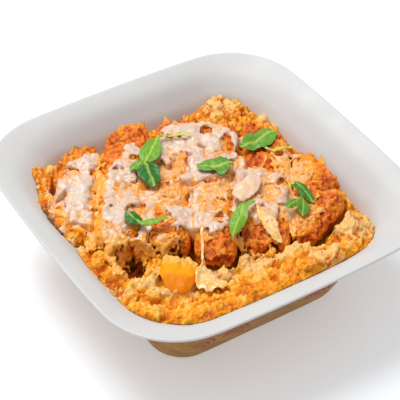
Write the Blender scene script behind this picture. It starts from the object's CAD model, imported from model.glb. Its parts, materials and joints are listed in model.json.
"""The looks of the katsudon tray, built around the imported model. Metres, +Z up.

Most pieces start as copies of their CAD nodes and get a fine surface, and the food is then given
its relief by displacement. The half-set egg and the glaze are thin ragged sheets draped over the
food, the half-set egg where its nodes have it and thinly beyond. The finishes read attributes that
the pieces remember, such as how far each point rose, so that colour follows form.
"""

import json
import math

import bpy
import numpy as np
from bpy.props import FloatProperty, FloatVectorProperty, PointerProperty
from mathutils import Matrix, Vector, noise
from mathutils.bvhtree import BVHTree

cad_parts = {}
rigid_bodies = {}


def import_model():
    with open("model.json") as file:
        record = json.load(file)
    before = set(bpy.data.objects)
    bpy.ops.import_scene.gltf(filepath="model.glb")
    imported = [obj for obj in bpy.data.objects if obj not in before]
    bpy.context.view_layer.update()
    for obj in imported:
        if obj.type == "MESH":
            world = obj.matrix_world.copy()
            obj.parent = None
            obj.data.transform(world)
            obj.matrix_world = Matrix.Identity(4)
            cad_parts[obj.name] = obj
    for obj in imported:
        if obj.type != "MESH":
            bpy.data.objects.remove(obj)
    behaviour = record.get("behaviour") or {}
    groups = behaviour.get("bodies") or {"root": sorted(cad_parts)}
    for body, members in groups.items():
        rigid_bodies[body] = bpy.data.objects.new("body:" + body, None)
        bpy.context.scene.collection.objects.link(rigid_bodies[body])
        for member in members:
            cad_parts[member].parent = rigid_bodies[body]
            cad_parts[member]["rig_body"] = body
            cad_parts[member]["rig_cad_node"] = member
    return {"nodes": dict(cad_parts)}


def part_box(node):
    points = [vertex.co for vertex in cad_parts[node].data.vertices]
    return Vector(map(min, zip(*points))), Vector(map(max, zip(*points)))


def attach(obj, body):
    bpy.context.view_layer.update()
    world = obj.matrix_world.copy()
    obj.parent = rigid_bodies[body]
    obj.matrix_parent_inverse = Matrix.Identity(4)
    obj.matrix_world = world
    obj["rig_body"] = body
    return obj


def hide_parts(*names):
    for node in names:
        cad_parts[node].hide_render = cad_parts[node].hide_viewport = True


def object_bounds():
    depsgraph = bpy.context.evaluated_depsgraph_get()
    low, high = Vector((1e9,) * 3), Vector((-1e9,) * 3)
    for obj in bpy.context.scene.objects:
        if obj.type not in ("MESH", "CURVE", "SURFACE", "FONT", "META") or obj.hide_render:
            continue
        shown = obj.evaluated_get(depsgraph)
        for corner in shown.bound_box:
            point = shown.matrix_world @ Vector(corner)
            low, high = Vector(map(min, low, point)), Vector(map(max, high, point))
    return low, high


bl_info = {
    "name": "Katsudon Tray",
    "version": (1, 0, 0),
    "blender": (4, 5, 0),
    "location": "View3D > Sidebar > Katsudon",
    "description": "Dresses a katsudon in its takeaway tray, and sets up its studio",
    "category": "Object",
}

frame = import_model()
cad_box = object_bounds()

MM = 0.001
BODY = "root"

# The CAD nodes of like pieces, with the names of the pieces that take their place
SLICES = {f"cutlet_slice_{index}": f"crust_{index}" for index in range(1, 7)}
FILMS = {f"egg_film_{index}": f"half_set_{index}" for index in range(1, 6)}
SPRIGS = {f"leaf_sprig_{index}": f"herb_{index}" for index in range(1, 7)}

# The food's axes: u along the cutlet, v along the cuts between its slices
FOOD_TURN = math.radians(-33.6)
ALONG_X, ALONG_Y = math.cos(FOOD_TURN), math.sin(FOOD_TURN)


# Settings that a user would change

def a_length(name, text, default):
    return FloatProperty(name=name, description=text, default=default, min=0, unit="LENGTH", precision=5)


def a_colour(name, text, default):
    return FloatVectorProperty(name=name, description=f"Colour {text}", default=default, size=3,
                               min=0, max=1, subtype="COLOR")


def a_share(name, text, default):
    return FloatProperty(name=name, description=text, default=default, min=0, max=1, subtype="FACTOR")


def an_angle(name, text, degrees):
    return FloatProperty(name=name, description=text, default=math.radians(degrees), subtype="ANGLE")


class TraySettings(bpy.types.PropertyGroup):
    foam: a_colour("Foam", "of the white foam", (0.61, 0.61, 0.605))
    wood: a_colour("Wood", "of the printed wood where it is light", (0.42, 0.22, 0.045))
    grain: a_colour("Grain", "of the printed wood where it is dark", (0.29, 0.125, 0.018))
    motif: a_colour("Motif", "of the printed arcs", (0.36, 0.016, 0.014))
    printed_width: a_length("Printed width", "Width of the body that carries the print", 147 * MM)


class EggSettings(bpy.types.PropertyGroup):
    detail: a_length("Detail", "Size of the surface's faces", 0.62 * MM)
    curd: a_length("Curd", "Size of a large curd", 6.0 * MM)
    depth: a_length("Depth", "Height of a large curd", 2.8 * MM)
    deep: a_colour("Deep", "between the curds", (0.55, 0.11, 0.005))
    yellow: a_colour("Yellow", "of most curds", (0.89, 0.31, 0.006))
    bright: a_colour("Bright", "of the curds' crests", (0.94, 0.46, 0.035))
    pale: a_colour("Pale", "of the curds that hold egg white", (0.88, 0.53, 0.18))
    sauce: a_colour("Sauce", "of the sauce in the hollows", (0.21, 0.032, 0.003))


class CrustSettings(bpy.types.PropertyGroup):
    detail: a_length("Detail", "Size of the surface's faces", 0.65 * MM)
    crumb: a_length("Crumb", "Size of a crumb", 2.2 * MM)
    depth: a_length("Depth", "Height of a crumb", 1.3 * MM)
    dark: a_colour("Dark", "between the crumbs", (0.40, 0.040, 0.003))
    brown: a_colour("Brown", "of the fried crust", (0.86, 0.20, 0.010))
    golden: a_colour("Golden", "of the crumbs' tips", (0.97, 0.45, 0.06))
    milk: a_colour("Milk", "of the thin egg that clings to the crust", (0.93, 0.58, 0.28))


class FilmSettings(bpy.types.PropertyGroup):
    detail: a_length("Detail", "Size of the surface's faces", 0.5 * MM)
    depth: a_length("Depth", "Height of the swells", 1.2 * MM)
    thin: a_colour("Thin", "where the crust shows through", (0.76, 0.30, 0.066))
    glaze: a_colour("Glaze", "of the thin egg between the patches", (0.92, 0.36, 0.05))
    white: a_colour("White", "of the set egg white", (0.68, 0.565, 0.49))
    yolk: a_colour("Yolk", "of the yolk run into it", (0.87, 0.38, 0.025))
    fleck: a_colour("Fleck", "of the crumbs that stick to it", (0.74, 0.21, 0.03))


class YolkSettings(bpy.types.PropertyGroup):
    yolk: a_colour("Yolk", "of the yolk", (0.88, 0.34, 0.005))
    low: a_colour("Low", "of the yolk's lower side", (0.78, 0.22, 0.003))
    froth: a_colour("Froth", "of the egg set on the yolk", (0.90, 0.50, 0.12))
    clear: a_colour("Clear", "of thin egg white", (0.93, 0.50, 0.08))
    white: a_colour("White", "of thick egg white", (0.92, 0.76, 0.46))
    onion: a_colour("Onion", "of the onion where it is thin", (0.80, 0.52, 0.30))


class HerbSettings(bpy.types.PropertyGroup):
    light: a_colour("Light", "of a young leaf", (0.17, 0.38, 0.03))
    dark: a_colour("Dark", "of a grown leaf", (0.022, 0.15, 0.018))
    stem: a_colour("Stem", "of the stems", (0.52, 0.60, 0.08))


class StageSettings(bpy.types.PropertyGroup):
    turn: an_angle("Turn", "The camera's angle round the tray", -33.59)
    height: an_angle("Height", "The camera's angle above the floor", 42.02)
    roll: an_angle("Roll", "The camera's roll", 1.35)
    distance: a_length("Distance", "From the camera to its target", 0.69341)
    lens: FloatProperty(name="Lens", description="Focal length", default=138.2, unit="CAMERA")
    key: FloatProperty(name="Key", description="Power of the large light behind", default=9.1, unit="POWER")
    sky: a_share("Sky", "Strength of the light from all round", 0.47)


SETTINGS = {
    "katsudon_tray": TraySettings,
    "katsudon_egg": EggSettings,
    "katsudon_crust": CrustSettings,
    "katsudon_film": FilmSettings,
    "katsudon_yolk": YolkSettings,
    "katsudon_herb": HerbSettings,
    "katsudon_stage": StageSettings,
}


# Shader nodes

class Value:
    """A socket of a material's nodes. Arithmetic on values adds the nodes that work it out."""

    def __init__(self, finish, socket):
        self.finish = finish
        self.socket = socket

    def __add__(self, other):
        return self.finish.maths("ADD", self, other)

    def __sub__(self, other):
        return self.finish.maths("SUBTRACT", self, other)

    def __rsub__(self, other):
        return self.finish.maths("SUBTRACT", other, self)

    def __mul__(self, other):
        return self.finish.maths("MULTIPLY", self, other)

    def __truediv__(self, other):
        return self.finish.maths("DIVIDE", self, other)

    def __rtruediv__(self, other):
        return self.finish.maths("DIVIDE", other, self)

    __radd__ = __add__
    __rmul__ = __mul__


class Finish:
    """One material: its nodes, and the shader they lead to."""

    def __init__(self, name, **constants):
        self.material = bpy.data.materials.new(name)
        self.material.use_nodes = True
        self.tree = self.material.node_tree
        self.shader = self.tree.nodes["Principled BSDF"]
        self.shader.inputs["Specular IOR Level"].default_value = 0.3
        for key, value in constants.items():
            self.shader.inputs[key.replace("_", " ")].default_value = value

    def node(self, kind, settings, inputs, output=0):
        """Adds a node with its settings and the values or links of its sockets."""
        made = self.tree.nodes.new(kind)
        for key, value in settings.items():
            setattr(made, key, value)
        for key, value in inputs.items():
            if isinstance(value, Value):
                self.tree.links.new(value.socket, made.inputs[key])
            else:
                made.inputs[key].default_value = value
        return Value(self, made.outputs[output])

    def maths(self, operation, first, second=0.0):
        return self.node("ShaderNodeMath", {"operation": operation}, {0: first, 1: second})

    def place(self):
        return self.node("ShaderNodeTexCoord", {}, {}, "Object")

    def attribute(self, name):
        return self.node("ShaderNodeAttribute", {"attribute_name": name}, {}, "Fac")

    def clouds(self, size, detail=3.0, rough=0.55, bend=0.0, vector=None):
        """Soft noise from 0 to 1."""
        inputs = {"Vector": vector or self.place(), "Scale": 1 / size, "Detail": detail,
                  "Roughness": rough, "Distortion": bend}
        return self.node("ShaderNodeTexNoise", {}, inputs)

    def cells(self, size):
        """The distance from the middle of round cells."""
        return self.node("ShaderNodeTexVoronoi", {}, {"Vector": self.place(), "Scale": 1 / size})

    def band(self, value, low, high, start=0.0, end=1.0):
        """A value taken smoothly from start to end as another goes from low to high."""
        inputs = {0: value, 1: low, 2: high, 3: start, 4: end}
        return self.node("ShaderNodeMapRange", {"interpolation_type": "SMOOTHSTEP"}, inputs)

    def mix(self, first, second, factor):
        """A colour between two colours."""
        inputs = {0: factor}
        for socket, shade in ((6, first), (7, second)):
            inputs[socket] = shade if isinstance(shade, Value) else (*shade, 1)
        return self.node("ShaderNodeMix", {"data_type": "RGBA"}, inputs, 2)

    def set(self, socket, value):
        self.tree.links.new(value.socket, self.shader.inputs[socket])

    def bump(self, height, distance, strength=1.0):
        inputs = {"Height": height, "Distance": distance, "Strength": strength}
        self.set("Normal", self.node("ShaderNodeBump", {}, inputs))


# Shaping

# Points closer than this in a CAD node are one point
MERGED = 0.01 * MM
# Vertex groups hold weights in this many steps
WEIGHT_STEPS = 20
# Share of a soft spot's radius at which it reaches its full strength
SPOT_CORE = 0.4


def select_only(piece):
    bpy.ops.object.select_all(action="DESELECT")
    piece.select_set(True)
    bpy.context.view_layer.objects.active = piece


def copy_of(node, name):
    """A merged copy of a CAD node, selected alone."""
    select_only(frame["nodes"][node])
    bpy.ops.object.duplicate()
    piece = bpy.context.active_object
    piece.name = name
    piece.data.name = name
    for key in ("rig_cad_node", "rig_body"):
        del piece[key]
    piece.data.materials.clear()
    bpy.ops.object.mode_set(mode="EDIT")
    bpy.ops.mesh.select_all(action="SELECT")
    bpy.ops.mesh.remove_doubles(threshold=MERGED)
    bpy.ops.object.mode_set(mode="OBJECT")
    bpy.ops.mesh.customdata_custom_splitnormals_clear()
    return piece


def modify(piece, kind, **settings):
    """Adds a modifier and applies it."""
    select_only(piece)
    modifier = piece.modifiers.new(kind.title(), kind)
    for key, value in settings.items():
        setattr(modifier, key, value)
    bpy.ops.object.modifier_apply(modifier=modifier.name)


def remesh(piece, detail, rounds):
    """Rebuilds a piece from small even faces, and smooths its old edges away."""
    modify(piece, "REMESH", mode="VOXEL", voxel_size=detail)
    modify(piece, "SMOOTH", factor=0.5, iterations=rounds)


def relief(piece, kind, size, depth, group="", direction="NORMAL", **settings):
    """Moves the surface by a procedural texture, half of the depth each way."""
    texture = bpy.data.textures.new(f"{piece.name}_{kind.lower()}", kind)
    texture.noise_scale = size
    for key, value in settings.items():
        setattr(texture, key, value)
    modify(piece, "DISPLACE", texture=texture, strength=depth, mid_level=0.5, direction=direction,
           texture_coords="LOCAL", vertex_group=group)
    bpy.data.textures.remove(texture)


def crags(piece, size, depth, group="", noise_depth=2):
    """Moves the surface by clouds, up and sideways, so that it overhangs."""
    relief(piece, "CLOUDS", size, depth, group, "RGB_TO_XYZ", noise_depth=noise_depth)


def rows_of(points, key):
    """One row of three numbers for each point."""
    flat = np.empty(len(points) * 3, np.float32)
    points.foreach_get(key, flat)
    return flat.reshape(-1, 3)


def positions(piece):
    return rows_of(piece.data.vertices, "co")


def directions(piece):
    return rows_of(piece.data.vertex_normals, "vector")


def place_points(piece, places):
    piece.data.vertices.foreach_set("co", np.asarray(places, np.float32).ravel())
    piece.data.update()


def weigh(piece, name, weights):
    """Stores a weight for each point, as a vertex group for modifiers."""
    group = piece.vertex_groups.new(name=name)
    levels = np.round(np.clip(weights, 0, 1) * WEIGHT_STEPS).astype(int)
    for level in range(1, WEIGHT_STEPS + 1):
        chosen = np.nonzero(levels == level)[0]
        if len(chosen):
            group.add(chosen.tolist(), level / WEIGHT_STEPS, "REPLACE")


def remember(piece, name, values):
    """Stores a value for each point, for the finishes."""
    attribute = piece.data.attributes.new(name, "FLOAT", "POINT")
    attribute.data.foreach_set("value", np.asarray(values, np.float32))


def remember_relief(piece, before, normals, depth):
    """Remembers how far each point rose: 0.5 where it stayed, 1 at half of the depth above that."""
    rise = ((positions(piece) - before) * normals).sum(1)
    remember(piece, "crest", np.clip(0.5 + rise / depth, 0, 1))


def step(low, high, values):
    """From 0 at low to 1 at high, smoothly."""
    t = np.clip((values - low) / (high - low), 0, 1)
    return t * t * (3 - 2 * t)


def food_axes(x, y):
    """The u and v of places or directions."""
    return x * ALONG_X + y * ALONG_Y, y * ALONG_X - x * ALONG_Y


def table_axes(u, v):
    """The x and y of places given along u and v."""
    return u * ALONG_X - v * ALONG_Y, u * ALONG_Y + v * ALONG_X


def in_spots(x, y, spots):
    """How deep places lie in soft oval spots."""
    u, v = food_axes(x, y)
    deepest = np.zeros(len(u))
    for spot_u, spot_v, radius_u, radius_v, strength in spots:
        away = np.hypot((u / MM - spot_u) / radius_u, (v / MM - spot_v) / radius_v)
        deepest = np.maximum(deepest, strength * step(1.0, SPOT_CORE, away))
    return deepest


def finish_piece(piece, finish, slot, *nodes, smooth=180):
    """Keeps a piece under the model's top, shades it, gives it its finish and ties it to the frame."""
    places = positions(piece)
    places[:, 2] = np.minimum(places[:, 2], cad_box[1].z)
    place_points(piece, places)
    select_only(piece)
    bpy.ops.object.shade_smooth_by_angle(angle=math.radians(smooth))
    piece.data.materials.append(finish.material)
    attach(piece, BODY)
    if nodes:
        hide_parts(*nodes)


# Heights seen from above, on a square grid

CELL = 0.5 * MM
CELLS = 336
# Above everything in the tray, where rays start down
RAY_START = 0.1
# Rounds of growing that close the gaps between the points of a mesh
GAP_ROUNDS = 3


def cell_of(values):
    return np.clip(np.round(values / CELL + CELLS / 2).astype(int), 0, CELLS - 1)


def cells_of(places):
    """The rows and columns of places."""
    return cell_of(places[:, 1]), cell_of(places[:, 0])


def spread(heights, blend, rounds=1):
    """Each cell blended with its four neighbours, round after round."""
    for _ in range(rounds):
        heights = blend([heights, np.roll(heights, 1, 0), np.roll(heights, -1, 0),
                         np.roll(heights, 1, 1), np.roll(heights, -1, 1)], axis=0)
    return heights


def blurred(heights, rounds):
    return spread(heights, np.mean, rounds)


def closed_over(heights, rounds):
    """The heights with narrow gaps bridged."""
    return spread(spread(heights, np.max, rounds), np.min, rounds)


def tops_of(*names):
    """The heights of the pieces' tops."""
    heights = np.zeros((CELLS, CELLS))
    for name in names:
        places = positions(bpy.data.objects[name])
        np.maximum.at(heights, cells_of(places), places[:, 2])
    for _ in range(GAP_ROUNDS):
        heights = np.where(heights > 0, heights, spread(heights, np.max))
    return heights


def node_tops(node):
    """The heights of a CAD node's top, zero beside it."""
    tree = BVHTree.FromObject(frame["nodes"][node], bpy.context.evaluated_depsgraph_get())
    low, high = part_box(node)
    heights = np.zeros((CELLS, CELLS))
    down = Vector((0, 0, -1))
    for row in range(int(cell_of(low[1])), int(cell_of(high[1])) + 1):
        for column in range(int(cell_of(low[0])), int(cell_of(high[0])) + 1):
            place = Vector(((column - CELLS / 2) * CELL, (row - CELLS / 2) * CELL, RAY_START))
            hit = tree.ray_cast(place, down)[0]
            if hit:
                heights[row, column] = hit.z
    return heights


def noise_map(size, seed, chosen):
    """Smooth noise from 0 to 1 in the chosen cells."""
    smoothness, lacunarity, octaves = 0.8, 2.1, 3
    values = np.zeros((CELLS, CELLS))
    for row, column in zip(*np.nonzero(chosen)):
        place = Vector((column * CELL / size, row * CELL / size, seed))
        values[row, column] = 0.5 + 0.5 * noise.fractal(place, smoothness, lacunarity, octaves)
    return values


def spot_map(spots):
    """How deep each cell lies in soft oval spots."""
    line = (np.arange(CELLS) - CELLS / 2) * CELL
    x, y = np.meshgrid(line, line)
    return in_spots(x.ravel(), y.ravel(), spots).reshape(CELLS, CELLS)


def sheet_from(name, heights, chosen, thickness, detail):
    """A thin closed piece whose top lies at the given heights in the chosen cells."""
    rows, columns = np.nonzero(chosen)
    first = Vector((columns.min(), rows.min()))
    last = Vector((columns.max(), rows.max()))
    size = last - first
    middle = ((first + last) / 2 - Vector((CELLS / 2, CELLS / 2))) * CELL
    bpy.ops.object.select_all(action="DESELECT")
    bpy.ops.mesh.primitive_grid_add(x_subdivisions=int(size.x), y_subdivisions=int(size.y), size=1,
                                    location=(*middle, 0))
    piece = bpy.context.active_object
    piece.name = name
    piece.data.name = name
    piece.scale = (size.x * CELL, size.y * CELL, 1)
    bpy.ops.object.transform_apply(location=True, rotation=True, scale=True)
    places = positions(piece)
    row, column = cells_of(places)
    places[:, 2] = heights[row, column]
    place_points(piece, places)
    bpy.ops.object.mode_set(mode="EDIT")
    bpy.ops.mesh.select_all(action="DESELECT")
    bpy.ops.object.mode_set(mode="OBJECT")
    piece.data.vertices.foreach_set("select", ~chosen[row, column])
    bpy.ops.object.mode_set(mode="EDIT")
    bpy.ops.mesh.delete(type="VERT")
    bpy.ops.mesh.select_all(action="SELECT")
    bpy.ops.mesh.normals_make_consistent(inside=False)
    bpy.ops.object.mode_set(mode="OBJECT")
    faces_up = directions(piece)[:, 2].mean() > 0
    modify(piece, "SOLIDIFY", thickness=thickness, offset=-1 if faces_up else 1)
    remesh(piece, detail, 4)
    return piece


# Finishes

# Refraction of foam, ink and wet food
FOAM_IOR, INK_IOR, WET_IOR = 1.45, 1.4, 1.38
# The foam's darker clouds, as a share of its colour
FOAM_SHADE = 0.965


def foam_finish(props):
    finish = Finish("white_foam", Roughness=0.42, IOR=FOAM_IOR, Subsurface_Weight=0.08,
                    Subsurface_Scale=2 * MM)
    beads = finish.cells(1.6 * MM)
    cloud = finish.clouds(22 * MM, 2)
    shaded = [part * FOAM_SHADE for part in props.foam]
    finish.set("Base Color", finish.mix(props.foam, shaded, finish.band(cloud, 0.35, 0.65)))
    finish.set("Roughness", finish.band(cloud, 0.3, 0.7, 0.36, 0.48))
    finish.bump(beads, 0.05 * MM, 0.35)
    return finish


# The rounded square that the print runs round: half a straight side, and the radius of its corners
STRAIGHT = 36 * MM
CORNER = 35 * MM
ROUND_TRAY = 8 * STRAIGHT + 2 * math.pi * CORNER

# The fans of arcs: one group's fans by place along and height, in mm, and the spacing of the groups
FANS = ((-36, 12), (-18, 12), (-27, 20.5))
GROUP_SPACING = ROUND_TRAY / 8
# In mm: half of an arc's pitch, the distances over which its ink fades in, and a fan's soft rim and foot
ARC_PITCH, ARC_INK, FAN_RIM, FAN_FOOT = 1.35, (0.55, 0.75), (8.6, 8.4), (-0.1, 0.1)
# Half of the print's soft edge
PRINT_BLUR = 0.15 * MM


def print_finish(props):
    """Printed wood grain, with fans of plain arcs here and there along it."""
    finish = Finish("printed_wood", Roughness=0.5, IOR=INK_IOR)
    along, height = finish.attribute("along"), finish.attribute("height")
    slanted = finish.node("ShaderNodeCombineXYZ", {}, {0: along * 0.25, 1: height + along * 0.35, 2: 0.0})
    lines = finish.clouds(5 * MM, 4, 0.6, 1.0, slanted)
    fine = finish.clouds(1.6 * MM, 3, 0.6, 0.4, slanted)
    grain = finish.band(lines * 0.65 + fine * 0.35, 0.38, 0.62)
    wood = finish.mix(props.grain, props.wood, grain)
    fans = []
    for place, foot in FANS:
        limits = {0: along, 1: place * MM + GROUP_SPACING / 2, 2: place * MM - GROUP_SPACING / 2}
        beside = finish.node("ShaderNodeMath", {"operation": "WRAP"}, limits)
        across = (beside - place * MM) / MM
        above = (height - foot * MM) / MM
        away = finish.maths("SQRT", across * across + above * above)
        ring = finish.maths("PINGPONG", away, ARC_PITCH)
        inside = finish.band(away, *FAN_RIM) * finish.band(above, *FAN_FOOT)
        fans.append(finish.band(ring, *ARC_INK) * inside)
    arcs = finish.maths("MAXIMUM", finish.maths("MAXIMUM", fans[0], fans[1]), fans[2])
    printed = finish.mix(wood, props.motif, arcs)
    edge = props.printed_width / 2
    bare = finish.band(finish.attribute("reach"), edge - PRINT_BLUR, edge + PRINT_BLUR)
    finish.set("Base Color", finish.mix(printed, props.foam, bare))
    return finish


def egg_finish(props):
    """Curds, dark between and bright on their crests, paler by patches, with sauce in the hollows."""
    finish = Finish("curdled_egg", Roughness=0.35, IOR=WET_IOR, Specular_IOR_Level=0.22,
                    Subsurface_Weight=0.15, Subsurface_Scale=1.5 * MM, Subsurface_Radius=(1.0, 0.5, 0.15),
                    Coat_Weight=0.1, Coat_Roughness=0.15)
    crest, pale, sauce = (finish.attribute(name) for name in ("crest", "pale", "sauce"))
    fine = finish.clouds(1.5 * MM, 4, 0.65, 0.5)
    broad = finish.clouds(6 * MM, 4, 0.6, 1.2)
    curd = finish.cells(4.5 * MM)
    rise = crest * 0.9 + fine * 0.45 - curd * 0.12
    base = finish.mix(props.deep, props.yellow, finish.band(rise, 0.3, 0.66))
    bright = finish.mix(base, props.bright, finish.band(rise, 0.58, 0.85))
    whiteness = finish.band(pale * 0.9 + broad * 0.7 + rise * 1.4, 1.33, 1.85)
    tone = finish.mix(bright, props.pale, whiteness)
    finish.set("Base Color", finish.mix(tone, props.sauce, finish.band(sauce, 0.05, 0.5)))
    finish.set("Roughness", finish.band(fine, 0.3, 0.7, 0.25, 0.55))
    finish.bump(fine + finish.clouds(0.7 * MM, 2) * 0.5, 0.5 * MM, 0.8)
    return finish


def crust_finish(props, egg):
    """Fried crumbs, dark between and golden at their tips, yellow and milky where egg clings."""
    finish = Finish("fried_crust", Roughness=0.45, IOR=WET_IOR, Subsurface_Weight=0.08,
                    Subsurface_Scale=1.2 * MM, Subsurface_Radius=(1.0, 0.4, 0.15),
                    Coat_Weight=0.15, Coat_Roughness=0.2)
    crest, cover = finish.attribute("crest"), finish.attribute("cover")
    fine = finish.clouds(1.2 * MM, 4, 0.65, 0.4)
    broad = finish.clouds(7 * MM, 3, 0.6, 1.0)
    blotch = finish.clouds(3.5 * MM, 3, 0.6, 0.8)
    crumb = finish.cells(1.7 * MM)
    tone = crest * 0.8 + fine * 0.4 - crumb * 0.1
    base = finish.mix(props.dark, props.brown, finish.band(tone, 0.2, 0.55))
    toasted = finish.mix(base, props.golden, finish.band(tone + broad * 0.3, 0.65, 1.0))
    yellow = finish.mix(toasted, egg.yellow, finish.band(broad + cover * 0.3, 0.5, 0.7) * 0.8)
    milk = finish.band(cover * 0.55 + blotch * 0.8 + tone * 0.25, 0.78, 1.05)
    finish.set("Base Color", finish.mix(yellow, props.milk, milk * 0.7))
    finish.set("Roughness", finish.band(fine, 0.3, 0.7, 0.3, 0.65))
    finish.bump(fine - crumb * 0.5, 0.6 * MM, 0.9)
    return finish


def film_finish(name, thin, white, film, yolkiness, whiteness):
    """Wet egg: clear over the crust where it is thin, milky where it is thick, streaked with yolk."""
    finish = Finish(name, Roughness=0.22, IOR=WET_IOR, Subsurface_Weight=0.2, Subsurface_Scale=1.5 * MM,
                    Subsurface_Radius=(1.0, 0.7, 0.5), Coat_Weight=0.35, Coat_Roughness=0.1)
    thick, yolk = finish.attribute("thick"), finish.attribute("yolk")
    run = finish.clouds(6 * MM, 4, 0.6, 1.4)
    blotch = finish.clouds(4.5 * MM, 3, 0.55, 0.8)
    fine = finish.clouds(1.4 * MM, 3, 0.6, 0.5)
    milk = finish.band(thick * 0.9 + blotch * 1.1 + fine * 0.15 + whiteness, 1.0, 1.8)
    skin = finish.mix(thin, white, milk)
    streak = finish.band(run + yolk * 0.6 + yolkiness, 0.72, 1.0)
    egg = finish.mix(skin, film.yolk, streak * 0.9)
    crumb = finish.band(finish.cells(2.4 * MM), 0.34, 0.2)
    fleck = crumb * finish.band(blotch + fine * 0.5, 0.72, 0.85)
    finish.set("Base Color", finish.mix(egg, film.fleck, fleck * 0.8))
    finish.set("Roughness", finish.band(fine, 0.3, 0.7, 0.12, 0.4))
    finish.bump(fine + blotch, 0.4 * MM, 0.5)
    return finish


def yolk_finish(props):
    """A soft yolk, darker low down and frothy where egg has set on it."""
    finish = Finish("soft_yolk", Roughness=0.5, IOR=WET_IOR, Specular_IOR_Level=0.15,
                    Subsurface_Weight=0.15, Subsurface_Scale=2 * MM, Subsurface_Radius=(1.0, 0.4, 0.08),
                    Coat_Weight=0.05, Coat_Roughness=0.2)
    froth, low = finish.attribute("froth"), finish.attribute("low")
    bubbles = finish.clouds(2.2 * MM, 4, 0.6, 0.8)
    broad = finish.clouds(5 * MM, 3)
    base = finish.mix(props.yolk, props.low, finish.band(low + broad * 0.4, 0.5, 1.2))
    set_egg = finish.band(froth + bubbles * 1.2, 0.8, 1.7)
    finish.set("Base Color", finish.mix(base, props.froth, set_egg))
    finish.bump(bubbles, 0.3 * MM, 0.3)
    return finish


def herb_finish(props):
    finish = Finish("leaf", Roughness=0.38, IOR=WET_IOR, Subsurface_Weight=0.08, Subsurface_Scale=1 * MM,
                    Subsurface_Radius=(0.4, 1.0, 0.2), Coat_Weight=0.15, Coat_Roughness=0.2)
    young, vein = finish.attribute("young"), finish.attribute("vein")
    fine = finish.clouds(1.5 * MM, 3)
    blade = finish.mix(props.dark, props.light, finish.band(young + fine * 0.5, 0.3, 1.2))
    finish.set("Base Color", finish.mix(blade, props.stem, vein))
    finish.set("Roughness", finish.band(fine, 0.3, 0.7, 0.3, 0.48))
    finish.bump(fine - vein, 0.3 * MM, 0.7)
    return finish


# The tray

# Edges of the foam sharper than this stay sharp, in degrees
FOAM_ANGLE = 60
# The print lies on faces that look outward and between these slopes, above the tray's base
PRINT_SLOPES = (-0.98, 0.4)
PRINT_FOOT = 0.3 * MM


def round_the_tray(places):
    """How far round the tray's rounded square each place lies, from the middle of the -Y side."""
    along = np.zeros(len(places))
    for turn in range(4):
        c, s = round(math.cos(turn * math.pi / 2)), round(math.sin(turn * math.pi / 2))
        x = c * places[:, 0] + s * places[:, 1]
        y = -s * places[:, 0] + c * places[:, 1]
        start = turn * ROUND_TRAY / 4
        flat = (y < 0) & (np.abs(x) <= STRAIGHT) & (-y >= np.abs(x))
        along[flat] = start + x[flat]
        bend = (x > STRAIGHT) & (y < -STRAIGHT)
        swing = np.arctan2(x[bend] - STRAIGHT, -(y[bend] + STRAIGHT))
        along[bend] = start + STRAIGHT + CORNER * swing
    return along


class KATSUDON_OT_tray(bpy.types.Operator):
    """Make the foam tray with its printed outside"""

    bl_idname = "katsudon.tray"
    bl_label = "Tray"

    def execute(self, context):
        props = context.scene.katsudon_tray
        tray = copy_of("tray", "tray_shell")
        flat = math.radians(FOAM_ANGLE)
        bpy.ops.object.mode_set(mode="EDIT")
        bpy.ops.mesh.select_all(action="SELECT")
        bpy.ops.mesh.tris_convert_to_quads(face_threshold=flat, shape_threshold=flat)
        bpy.ops.object.mode_set(mode="OBJECT")
        modify(tray, "SUBSURF", levels=2, render_levels=2)
        finish_piece(tray, foam_finish(props), "white_foam", "tray", smooth=FOAM_ANGLE)
        tray.data.materials.append(print_finish(props).material)
        places = positions(tray)
        beyond = np.maximum(np.abs(places[:, :2]) - STRAIGHT, 0)
        remember(tray, "along", round_the_tray(places))
        remember(tray, "height", places[:, 2])
        remember(tray, "reach", STRAIGHT + np.hypot(beyond[:, 0], beyond[:, 1]))
        lowest, highest = PRINT_SLOPES
        for face in tray.data.polygons:
            place, outward = face.center, face.normal
            outside = outward.x * place.x + outward.y * place.y > 0
            if outside and lowest < outward.z < highest and place.z > PRINT_FOOT:
                face.material_index = 1
        return {"FINISHED"}


# The bed of curdled egg

# Soft oval spots are listed by u, v, radius along u, radius along v, all in mm, and strength.
# Paler parts of the bed, and the sauce in its hollows
PALE_SPOTS = (
    (67, -17, 14, 14, 0.75), (52, -42, 12, 9, 0.6), (8, 69, 18, 12, 0.5), (30, 62, 9, 7, 0.3),
    (-78, 10, 10, 12, 0.3), (-62, -40, 14, 12, 0.6), (-38, -66, 12, 7, 0.6), (-5, -60, 9, 6, 0.3),
)
SAUCE_SPOTS = (
    (-54, -35, 6, 5, 0.9), (-31, -43, 10, 11, 1.0), (-12, -38, 11, 10, 1.0), (7, -40, 7, 4, 1.0),
    (19, -33, 5, 4, 0.9), (52, -26, 8, 8, 0.9), (62, -12, 6, 8, 0.6),
)

# Curds heaped against the slices' front ends, as spots whose strength is their height in mm
HEAPED = (
    (23, -40, 10, 8, 3.5), (36, -35, 11, 9, 3.5), (46, -31, 8, 8, 2.5), (8, -46, 11, 6, 3.5),
    (-24, -57, 7, 7, 3.0), (-12, -62, 13, 6, 3.0), (1, -54, 7, 7, 2.0),
)

# Heights from and to which each of these fades in
SAUCE_FADE = (39.5 * MM, 36.5 * MM)
WALL_FADE = (30 * MM, 33 * MM)
CURD_FADE = (31 * MM, 34 * MM)
HIDDEN_FADE = (33 * MM, 31.5 * MM)
# How far the bed's sides swell towards the tray's wall
WALL_SWELL = 0.5 * MM
# The rise and fall of curds that the finish tells apart
CURD_RELIEF = 4 * MM
# The share of the bed's faces that stays when its hidden part is thinned out
KEPT_SHARE = 0.62


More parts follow.
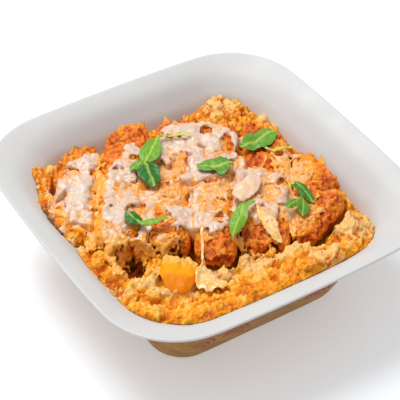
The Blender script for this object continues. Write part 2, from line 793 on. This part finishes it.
def curds(piece, size, depth, group):
    """Breaks a surface into soft curds, large to small, pushed aside so that they overhang."""
    crags(piece, size, 1.2 * depth, group)
    relief(piece, "VORONOI", size, -0.8 * depth, group)
    relief(piece, "VORONOI", 0.45 * size, -0.6 * depth, group)
    crags(piece, 0.3 * size, 0.6 * depth, group)
    relief(piece, "VORONOI", 0.25 * size, -0.4 * depth, group)
    crags(piece, 0.18 * size, 0.4 * depth, group, noise_depth=1)


class KATSUDON_OT_egg_bed(bpy.types.Operator):
    """Make the bed of curdled egg"""

    bl_idname = "katsudon.egg_bed"
    bl_label = "Egg bed"

    def execute(self, context):
        props = context.scene.katsudon_egg
        bed = copy_of("egg_bed", "egg_bed_curds")
        remesh(bed, props.detail, 6)
        before, normals = positions(bed), directions(bed)
        x, y, height = before.T
        pale = in_spots(x, y, PALE_SPOTS)
        sauce = in_spots(x, y, SAUCE_SPOTS) * step(*SAUCE_FADE, height)
        upright = step(0.5, 0.0, np.abs(normals[:, 2]))
        weigh(bed, "side", upright * step(*WALL_FADE, height))
        modify(bed, "DISPLACE", strength=WALL_SWELL, mid_level=0, vertex_group="side")
        upward = step(0.1, 0.5, normals[:, 2])
        open_top = upward * step(*CURD_FADE, height) * (1 - 0.5 * sauce)
        raised = positions(bed)
        raised[:, 2] += in_spots(raised[:, 0], raised[:, 1], HEAPED) * MM * upward
        place_points(bed, raised)
        weigh(bed, "open", open_top)
        weigh(bed, "lumpy", open_top * step(0.1, 0.6, pale))
        relief(bed, "VORONOI", 1.2 * props.curd, -0.9 * props.depth, "lumpy")
        curds(bed, props.curd, props.depth, "open")
        remember_relief(bed, before, normals, CURD_RELIEF)
        remember(bed, "pale", pale)
        remember(bed, "sauce", sauce)
        weigh(bed, "hidden", step(*HIDDEN_FADE, height))
        modify(bed, "DECIMATE", ratio=KEPT_SHARE, vertex_group="hidden", vertex_group_factor=1000)
        finish_piece(bed, egg_finish(props), "curdled_egg", "egg_bed")
        return {"FINISHED"}


# The cutlet

# Where egg clings to the crust without hiding it
CLINGING_EGG = (
    (-60, -2, 14, 34, 0.9), (-38, -8, 13, 42, 1.0), (-16, 8, 13, 42, 0.8), (4, 12, 14, 38, 0.9),
    (-2, -20, 18, 14, 0.7), (24, -2, 16, 26, 1.0), (44, -14, 12, 14, 0.7), (42, 16, 14, 14, 1.0),
    (0, -38, 30, 6, 0.3),
)

# Heights over which the crust's crags fade in
CRAG_FADE = (33 * MM, 36 * MM)
# How much of them the cut sides between the slices lose
CUT_LOSS = 0.75
# The rise and fall of crumbs that the finish tells apart
CRUMB_RELIEF = 3 * MM


class KATSUDON_OT_cutlet(bpy.types.Operator):
    """Make the slices of the breaded cutlet"""

    bl_idname = "katsudon.cutlet"
    bl_label = "Cutlet"

    def execute(self, context):
        props = context.scene.katsudon_crust
        finish = crust_finish(props, context.scene.katsudon_egg)
        crumb, depth = props.crumb, props.depth
        for node, name in SLICES.items():
            piece = copy_of(node, name)
            remesh(piece, props.detail, 5)
            before, normals = positions(piece), directions(piece)
            out = step(*CRAG_FADE, before[:, 2])
            u_side, v_side = food_axes(normals[:, 0], normals[:, 1])
            weigh(piece, "crust", out * (1 - CUT_LOSS * step(0.6, 0.9, np.abs(u_side))))
            weigh(piece, "ends", out * step(0.2, 0.7, np.abs(v_side)))
            crags(piece, 2.8 * crumb, 5 * depth, "ends")
            crags(piece, 2.5 * crumb, 2 * depth, "crust")
            relief(piece, "VORONOI", crumb, -depth, "crust", distance_metric="MANHATTAN")
            crags(piece, 0.6 * crumb, 0.9 * depth, "crust")
            relief(piece, "CLOUDS", 0.5 * crumb, 0.7 * depth, "crust", noise_type="HARD_NOISE")
            remember_relief(piece, before, normals, CRUMB_RELIEF)
            upward = step(-0.6, 0.6, normals[:, 2])
            remember(piece, "cover", in_spots(before[:, 0], before[:, 1], CLINGING_EGG) * upward)
            finish_piece(piece, finish, "fried_crust", node)
        return {"FINISHED"}


# Draped egg

# The noise that tears its edge, coarse and fine: size and strength
COARSE, COARSE_SHARE = 7 * MM, 1.2
FINE, FINE_SHARE = 2.6 * MM, 0.5
# Its swells: their size, gain and level, and the limits of their height
SWELL, SWELL_GAIN, SWELL_LEVEL, SWELL_LIMITS = 8 * MM, 3.0, 0.9, (-0.2, 1.1)
# The least nearness at which it is worked out, and the least share of its height at which it is made
LEAST_NEAR, LEAST_SHARE = 0.06, 0.03
# How deep its edge sinks into the food, and how deep it may lie and still be kept
SUNK, BURIED = 0.5 * MM, 0.6 * MM
# It stays where a blur of so many rounds leaves this share filled, which drops small islands
ISLAND_ROUNDS, ISLAND_SHARE = 8, 0.3
# Its own thickness, its height above the food where it is quite milky, and the room left under the top
SHEET, MILKY_THICKNESS, HEADROOM = 1.1 * MM, 1.4 * MM, 0.3 * MM
# Rounds that bridge the gaps between the slices
BRIDGE_ROUNDS = 7
# Depths of a gap between which egg pools in it
POOL_FADE = (1.5 * MM, 5 * MM)
# Along v: where it turns crumbly, and where it turns yellow, towards the front
CRUMBLY_FADE, YELLOW_FADE = (-24 * MM, -36 * MM), (-26 * MM, -40 * MM)
# Along u: the gap between the first two slices, its soft half width, and where the right side starts
FIRST_GAP, GAP_FADE, RIGHT_FADE = -48.5 * MM, (4.5 * MM, 1 * MM), (14 * MM, 30 * MM)


class Drape:
    """Thin egg laid on the food, thicker and thinner by patches, with a ragged edge."""

    def __init__(self, near, base, ground, depth, seed, edge):
        self.near, self.ground = near, ground
        self.reach = near > LEAST_NEAR
        coarse = noise_map(COARSE, seed, self.reach) - 0.5
        fine = noise_map(FINE, seed + 9, self.reach) - 0.5
        self.share = step(*edge, near + COARSE_SHARE * coarse + FINE_SHARE * fine)
        waves = SWELL_GAIN * noise_map(SWELL, seed + 5, self.reach) - SWELL_LEVEL
        swell = np.clip(waves, *SWELL_LIMITS) + 0.4 * fine
        low = blurred(ground, 2) - SUNK
        top = low + self.share * (base + depth * swell - low)
        self.top = np.minimum(top, cad_box[1].z - HEADROOM)
        self.pooled = step(*POOL_FADE, closed_over(ground, BRIDGE_ROUNDS) - ground)

    def piece(self, name, part, detail):
        """The sheet in one part of the drape."""
        chosen = part & self.reach & (self.share > LEAST_SHARE) & (self.top > self.ground - BURIED)
        chosen &= blurred(chosen.astype(float), ISLAND_ROUNDS) > ISLAND_SHARE
        piece = sheet_from(name, self.top, chosen, SHEET, detail)
        places = positions(piece)
        cells = cells_of(places)
        rise = (blurred(self.top, 1) - self.ground)[cells]
        milky = np.clip(rise / MILKY_THICKNESS, 0, 1) * step(0.1, 0.8, self.share[cells])
        remember(piece, "thick", milky)
        u, v = food_axes(places[:, 0], places[:, 1])
        weigh(piece, "crumbly", 0.12 + 0.88 * step(*CRUMBLY_FADE, v))
        crags(piece, 3 * MM, 2.8 * MM, "crumbly")
        relief(piece, "VORONOI", 2.2 * MM, -1.4 * MM, "crumbly")
        yolk = 0.8 * step(*YELLOW_FADE, v) + 0.4 * (1 - self.near[cells]) + 0.6 * self.pooled[cells]
        between = step(*GAP_FADE, np.abs(u - FIRST_GAP))
        remember(piece, "yolk", yolk + 0.8 * between + 0.2 * step(*RIGHT_FADE, u))
        return piece


# Thin egg over the slices and in the gaps between them
GLAZED = (
    (-60, -8, 12, 30, 0.9), (-49, -10, 9, 40, 1.0), (-38, -10, 12, 42, 0.8), (-26, -5, 8, 42, 0.9),
    (-16, 4, 12, 42, 0.8), (-5, 5, 7, 42, 0.9), (5, 8, 12, 42, 0.8), (16, 0, 7, 38, 0.9),
    (28, -2, 14, 34, 1.0), (40, -8, 7, 26, 0.8), (47, -12, 9, 14, 0.6), (26, -34, 12, 8, 0.4),
    (-17, -31, 9, 7, 0.85), (4, -28, 10, 8, 0.8), (14, -28, 7, 7, 0.6), (44, 12, 12, 16, 0.8),
    (38, 28, 13, 12, 0.9), (52, -8, 6, 12, 0.5),
)

GLAZE_DEPTH, GLAZE_DETAIL, GLAZE_SEED, GLAZE_EDGE = 1.3 * MM, 0.6 * MM, 40, (0.32, 0.6)
# Depths of a gap between which more glaze gathers in it
GATHER_FADE = (1 * MM, 4 * MM)
# The glaze lies only above the deep hollows
HOLLOW = 30 * MM


class KATSUDON_OT_glaze(bpy.types.Operator):
    """Make the thin patches of egg on the crust and in the gaps between the slices"""

    bl_idname = "katsudon.glaze"
    bl_label = "Egg glaze"

    def execute(self, context):
        props = context.scene.katsudon_film
        finish = film_finish("egg_glaze", props.glaze, props.white, props, yolkiness=0.12, whiteness=0.12)
        ground = tops_of("egg_bed_curds", *SLICES.values())
        bridged = closed_over(ground, BRIDGE_ROUNDS)
        spots = spot_map(GLAZED)
        gathered = 0.5 * step(*GATHER_FADE, bridged - ground) * step(0.1, 0.5, spots)
        near = (spots + gathered) * (ground > HOLLOW)
        base = blurred(0.85 * bridged + 0.15 * ground, 3)
        drape = Drape(near * 0.85, base, ground, GLAZE_DEPTH, GLAZE_SEED, GLAZE_EDGE)
        piece = drape.piece("egg_glaze", near > 0, GLAZE_DETAIL)
        finish_piece(piece, finish, "half_set_egg")
        return {"FINISHED"}


# Where brown crust shows through the half-set egg
BARE_SPOTS = (
    (-12, 13.5, 6, 5, 0.9), (-8.5, 50, 4, 3.5, 0.9), (10, 33, 4, 8, 0.9), (-38.5, -1, 4, 3.5, 0.9),
    (-25.5, -2, 4, 4, 0.9), (-24, -16, 4, 4, 0.8), (-57, -27, 7, 6, 0.6), (-32, -16, 5, 5, 0.7),
    (-18, -22, 4, 4, 0.6), (4, 12, 6, 3, 0.6), (-41, 24, 4, 4, 0.6), (6, -18, 4, 4, 0.6),
    (36, 6, 4, 4, 0.7), (-29.5, -43, 15, 9, 1.0), (20, 44, 5, 5, 0.7), (0, 42, 4, 4, 0.7),
    (12, 18, 5, 4, 0.7), (-62, 8, 4, 4, 0.6), (-66, -12, 4, 5, 0.6),
)

# Where the half-set egg spreads thinly beyond its thick patches
MILKY_SPOTS = (
    (-62, -7, 18, 32, 1.0), (-38, -8, 13, 36, 0.95), (-20, 0, 10, 26, 0.65), (6, 36, 22, 14, 0.6),
    (26, 4, 12, 20, 0.5), (-8, 6, 16, 16, 0.75), (12, 10, 12, 16, 0.7),
)

FILM_SEED, FILM_EDGE = 3, (0.34, 0.8)
# The patches' blur, the rounds that bridge gaps under them, and how far neighbours overlap
PATCH_ROUNDS, PATCH_BRIDGE, PATCH_OVERLAP = 30, 5, 0.06
# The film spreads only where the food is this high, and its base lies this far below its nodes' tops
SLICE_TOP, BELOW_NODE = 38 * MM, 1.8 * MM


class KATSUDON_OT_films(bpy.types.Operator):
    """Make the patches of half-set egg that cover the slices"""

    bl_idname = "katsudon.films"
    bl_label = "Half-set egg"

    def execute(self, context):
        props = context.scene.katsudon_film
        finish = film_finish("half_set_egg", props.thin, props.white, props, yolkiness=0.0, whiteness=0.1)
        ground = tops_of("egg_bed_curds", *SLICES.values())
        cad_tops = [node_tops(node) for node in FILMS]
        patches = [blurred((cad_top > 0).astype(float), PATCH_ROUNDS) for cad_top in cad_tops]
        milky = spot_map(MILKY_SPOTS) * (ground > SLICE_TOP)
        near = np.clip(np.maximum(sum(patches), milky), 0, 1) * (1 - spot_map(BARE_SPOTS))
        bridged = 0.8 * closed_over(ground, PATCH_BRIDGE) + 0.2 * ground
        base = blurred(np.maximum(bridged, np.max(cad_tops, axis=0) - BELOW_NODE), 3)
        drape = Drape(near, base, ground, props.depth, FILM_SEED, FILM_EDGE)
        pulls = [blurred(patch, PATCH_ROUNDS) for patch in patches]
        strongest = np.max(pulls, axis=0)
        for (node, name), pull in zip(FILMS.items(), pulls):
            piece = drape.piece(name, pull > strongest - PATCH_OVERLAP, props.detail)
            finish_piece(piece, finish, "half_set_egg", node)
        return {"FINISHED"}


# The yolk, the egg white and the onion

YOLK_DETAIL, LOOSE_DETAIL = 0.45 * MM, 0.4 * MM
# Where egg has set on the yolk
FROTHY = ((-10, -44, 14, 9, 1.0),)
FROTH_SIZE, FROTH_DEPTH = 4.5 * MM, 2.4 * MM
# Along v: where the yolk turns darker, towards the front
LOW_FADE = (-52 * MM, -60 * MM)

# The run of egg white: its strand's width as a share of the node's, what its foot adds to that, the
# rows along v in mm between which it widens, and how far it moves along u
STRAND, FOOT_GAIN, FOOT_FADE, RUN_SHIFT = 0.45, 1.0, (-48, -55), 2.5 * MM


class KATSUDON_OT_egg_pieces(bpy.types.Operator):
    """Make the yolk, the run and the strip of egg white, and the onion"""

    bl_idname = "katsudon.egg_pieces"
    bl_label = "Yolk, white and onion"

    def execute(self, context):
        props, film = context.scene.katsudon_yolk, context.scene.katsudon_film
        yolk = copy_of("yolk", "yolk_half_set")
        remesh(yolk, YOLK_DETAIL, 12)
        crags(yolk, 9 * MM, 2.2 * MM)
        crags(yolk, 2 * MM, 0.5 * MM)
        x, y, _ = positions(yolk).T
        froth = in_spots(x, y, FROTHY)
        weigh(yolk, "frothy", froth)
        curds(yolk, FROTH_SIZE, FROTH_DEPTH, "frothy")
        remember(yolk, "froth", froth)
        remember(yolk, "low", step(*LOW_FADE, food_axes(x, y)[1]))
        finish_piece(yolk, yolk_finish(props), "soft_yolk", "yolk")
        white = film_finish("egg_white", props.clear, props.white, film, yolkiness=0.15, whiteness=0.25)
        onion = film_finish("soft_onion", props.onion, film.white, film, yolkiness=-0.1, whiteness=0.05)
        loose_film("egg_white_drip", "egg_white_run", white, "egg_white")
        loose_film("egg_white_strip", "egg_white_slip", white, "egg_white")
        loose_film("onion_slice", "onion_soft", onion, "soft_onion")
        return {"FINISHED"}


def loose_film(node, name, finish, slot):
    """A thin wet piece that keeps its CAD form, with a wavy surface."""
    piece = copy_of(node, name)
    remesh(piece, LOOSE_DETAIL, 6)
    crags(piece, 5 * MM, 1.8 * MM)
    if node == "egg_white_drip":
        narrow_run(piece)
        lift_clear(piece, tops_of("egg_bed_curds"))
    points = len(piece.data.vertices)
    remember(piece, "thick", np.full(points, 0.7))
    remember(piece, "yolk", np.full(points, 0.3))
    finish_piece(piece, finish, slot, node)


def narrow_run(piece):
    """Draws a run of egg in to a strand where it hangs, and widens its foot."""
    places = positions(piece)
    u, v = food_axes(places[:, 0], places[:, 1])
    rows = np.round(v / MM).astype(int)
    for row in np.unique(rows):
        chosen = rows == row
        middle = u[chosen].mean()
        width = STRAND + FOOT_GAIN * step(*FOOT_FADE, float(row))
        u[chosen] = middle + (u[chosen] - middle) * width
    u -= RUN_SHIFT
    places[:, 0], places[:, 1] = table_axes(u, v)
    place_points(piece, places)
    modify(piece, "SMOOTH", factor=0.5, iterations=2)
    crags(piece, 4 * MM, 3 * MM)


# How far a lifted piece clears the food, and stays below the rim
CLEARANCE, BELOW_RIM = 0.15 * MM, 0.1 * MM
# Rounds that widen a lift, and that smooth it
LIFT_ROUNDS, LIFT_BLUR = 4, 12


def lift_clear(piece, cover):
    """Raises a thin piece smoothly where the food under it would come through."""
    places = positions(piece)
    cells = cells_of(places)
    lowest = np.full((CELLS, CELLS), np.inf)
    np.minimum.at(lowest, cells, places[:, 2])
    lift = np.where(np.isfinite(lowest), np.maximum(cover + CLEARANCE - lowest, 0), 0)
    lift = blurred(spread(lift, np.max, LIFT_ROUNDS), LIFT_BLUR)
    places[:, 2] = np.minimum(places[:, 2] + lift[cells], cad_box[1].z - BELOW_RIM)
    place_points(piece, places)


# The herbs

# The leaves of each sprig, as in the model, in mm: root, tip, width and how young it looks
LEAVES = {
    "leaf_sprig_1": (
        ((-28.5, 13), (-23, 32), 10, 0.8),
        ((-29, 15), (-23, -2), 11, 0.0),
        ((-29, 14), (-35.5, 8), 5, 0.6),
    ),
    "leaf_sprig_2": (
        ((34, 42), (15, 27), 12, 0.6),
    ),
    "leaf_sprig_3": (
        ((6, 13), (-5, 13), 9, 0.6),
        ((2, 12), (13, 15), 12, 0.5),
    ),
    "leaf_sprig_4": (
        ((41, 5), (50.5, -8), 6.5, 0.3),
        ((43, -7), (36.5, -15), 6, 0.5),
        ((45, -6), (44, -18), 6.5, 0.5),
    ),
    "leaf_sprig_5": (
        ((18, -13), (12, -35), 7.5, 0.9),
        ((16.5, -16), (23.5, -12), 4, 0.8),
    ),
    "leaf_sprig_6": (
        ((-28, -27), (-36, -20), 8, 0.0),
        ((-29, -28), (-15, -23), 4, 0.8),
    ),
}

# A leaf grows paler towards its root by this much
ROOT_PALER = 0.15
# The midrib and side veins: strength, and the shares of the half width or of their pitch where they fade
MIDRIB, MIDRIB_FADE = 0.6, (0.15, 0.05)
SIDE_VEIN, SIDE_VEIN_FADE = 0.1, (0.16, 0.04)
# The side veins' pitch in mm, and how far they slant
VEIN_PITCH, VEIN_SLANT = 2.6, 1.2
# Points further from every leaf than this, in halves of its length or width, belong to a stem
LEAF_REACH = 1.12


def nearest_leaf(places, leaves):
    """For each place, its leaf's number, its share of the leaf's length and half width, and its distance."""
    u, v = food_axes(places[:, 0], places[:, 1])
    best = np.full(len(u), np.inf)
    which, along, across = np.zeros(len(u), int), np.zeros(len(u)), np.zeros(len(u))
    for index, (root, tip, width, _) in enumerate(leaves):
        axis = np.subtract(tip, root)
        length = np.hypot(*axis)
        axis = axis / length
        du, dv = u / MM - root[0], v / MM - root[1]
        t = (du * axis[0] + dv * axis[1]) / length
        side = (dv * axis[0] - du * axis[1]) / (width / 2)
        away = np.maximum(np.abs(t - 0.5) * 2, np.abs(side))
        closer = away < best
        for kept, found in ((best, away), (along, t), (across, side)):
            kept[closer] = found[closer]
        which[closer] = index
    return which, along, across, best


def remember_leaves(piece, leaves):
    """Remembers how young each point of a sprig looks, and its veins: midrib, side veins and stems."""
    which, along, across, away = nearest_leaf(positions(piece), leaves)
    ages = np.array([leaf[3] for leaf in leaves])
    remember(piece, "young", ages[which] + ROOT_PALER * (0.5 - along))
    lengths = np.array([math.dist(leaf[0], leaf[1]) for leaf in leaves])
    midrib = MIDRIB * step(*MIDRIB_FADE, np.abs(across))
    phase = (along * lengths[which] / VEIN_PITCH - np.abs(across) * VEIN_SLANT) % 1
    side = SIDE_VEIN * step(*SIDE_VEIN_FADE, np.minimum(phase, 1 - phase))
    remember(piece, "vein", np.where(away > LEAF_REACH, 1.0, np.maximum(midrib, side)))


class KATSUDON_OT_herbs(bpy.types.Operator):
    """Make the leaf sprigs"""

    bl_idname = "katsudon.herbs"
    bl_label = "Herbs"

    def execute(self, context):
        finish = herb_finish(context.scene.katsudon_herb)
        cover = tops_of("egg_bed_curds", *SLICES.values(), "egg_glaze", *FILMS.values())
        for node, name in SPRIGS.items():
            piece = copy_of(node, name)
            modify(piece, "SUBSURF", levels=3, render_levels=3)
            remember_leaves(piece, LEAVES[node])
            crags(piece, 5 * MM, 2.2 * MM)
            lift_clear(piece, cover)
            finish_piece(piece, finish, "leaf", node)
        return {"FINISHED"}


# The studio

FLOOR_SIZE, FLOOR_DROP = 6, 0.05 * MM
FLOOR_COLOUR, FLOOR_GLOW = (0.84, 0.89, 0.95, 1), 0.28
WHITE = (1, 1, 1, 1)
# The lights' places and sizes, and the fill's power as a share of the key's
KEY_PLACE, KEY_SIZE = (-0.12, 0.4, 0.91), 0.6
FILL_PLACE, FILL_SIZE, FILL_SHARE = (-0.7, -0.5, 0.7), 0.9, 0.08
# The camera's target, the width of its sensor in mm, and the nearest thing it sees
TARGET = Vector((-9.08 * MM, -9.55 * MM, 53.86 * MM))
SENSOR, NEAREST = 36, 0.01


class KATSUDON_OT_stage(bpy.types.Operator):
    """Make the floor, the lights and the camera"""

    bl_idname = "katsudon.stage"
    bl_label = "Studio"

    def execute(self, context):
        props = context.scene.katsudon_stage
        bpy.ops.object.select_all(action="DESELECT")
        bpy.ops.mesh.primitive_plane_add(size=FLOOR_SIZE, location=(0, 0, -FLOOR_DROP))
        floor = context.active_object
        floor.name = "floor"
        finish = Finish("pale_floor", Roughness=0.6, Base_Color=FLOOR_COLOUR, Emission_Color=WHITE,
                        Emission_Strength=FLOOR_GLOW)
        floor.data.materials.append(finish.material)
        self.light(context, "key", KEY_PLACE, KEY_SIZE, props.key)
        self.light(context, "fill", FILL_PLACE, FILL_SIZE, FILL_SHARE * props.key)
        world = bpy.data.worlds.new("studio")
        world.use_nodes = True
        background = world.node_tree.nodes["Background"]
        background.inputs["Color"].default_value = WHITE
        background.inputs["Strength"].default_value = props.sky
        context.scene.world = world
        context.scene.view_settings.view_transform = "Standard"
        self.camera(context, props)
        return {"FINISHED"}

    def light(self, context, name, place, size, power):
        bpy.ops.object.light_add(type="AREA", location=place)
        lamp = context.active_object
        lamp.name = name
        lamp.data.size = size
        lamp.data.energy = power
        lamp.rotation_euler = (-Vector(place)).to_track_quat("-Z", "Y").to_euler()

    def camera(self, context, props):
        back = Vector((math.sin(props.turn) * math.cos(props.height),
                       -math.cos(props.turn) * math.cos(props.height), math.sin(props.height)))
        right = Vector((math.cos(props.turn), math.sin(props.turn), 0))
        axes = Matrix((right, back.cross(right), back)).transposed().to_4x4()
        turned = axes @ Matrix.Rotation(props.roll, 4, "Z")
        bpy.ops.object.camera_add()
        camera = context.active_object
        camera.name = "camera"
        camera.matrix_world = Matrix.Translation(TARGET + back * props.distance) @ turned
        camera.data.lens = props.lens
        camera.data.sensor_width = SENSOR
        camera.data.clip_start = NEAREST
        context.scene.camera = camera


class KATSUDON_PT_panel(bpy.types.Panel):
    """The steps of the katsudon tray"""

    bl_label = "Katsudon"
    bl_idname = "KATSUDON_PT_panel"
    bl_space_type = "VIEW_3D"
    bl_region_type = "UI"
    bl_category = "Katsudon"

    def draw(self, context):
        for operator in OPERATORS:
            self.layout.operator(operator.bl_idname)
        for name, group in SETTINGS.items():
            box = self.layout.box()
            for key in group.__annotations__:
                box.prop(getattr(context.scene, name), key)


OPERATORS = (
    KATSUDON_OT_tray,
    KATSUDON_OT_egg_bed,
    KATSUDON_OT_cutlet,
    KATSUDON_OT_glaze,
    KATSUDON_OT_films,
    KATSUDON_OT_egg_pieces,
    KATSUDON_OT_herbs,
    KATSUDON_OT_stage,
)


def register():
    for kind in (*SETTINGS.values(), *OPERATORS, KATSUDON_PT_panel):
        bpy.utils.register_class(kind)
    for name, group in SETTINGS.items():
        setattr(bpy.types.Scene, name, PointerProperty(type=group))


def unregister():
    for name in SETTINGS:
        delattr(bpy.types.Scene, name)
    for kind in (KATSUDON_PT_panel, *OPERATORS, *SETTINGS.values()):
        bpy.utils.unregister_class(kind)


def main():
    register()
    bpy.ops.katsudon.tray()
    bpy.ops.katsudon.egg_bed()
    bpy.ops.katsudon.cutlet()
    bpy.ops.katsudon.glaze()
    bpy.ops.katsudon.films()
    bpy.ops.katsudon.egg_pieces()
    bpy.ops.katsudon.herbs()
    bpy.ops.katsudon.stage()


if __name__ == "__main__":
    main()
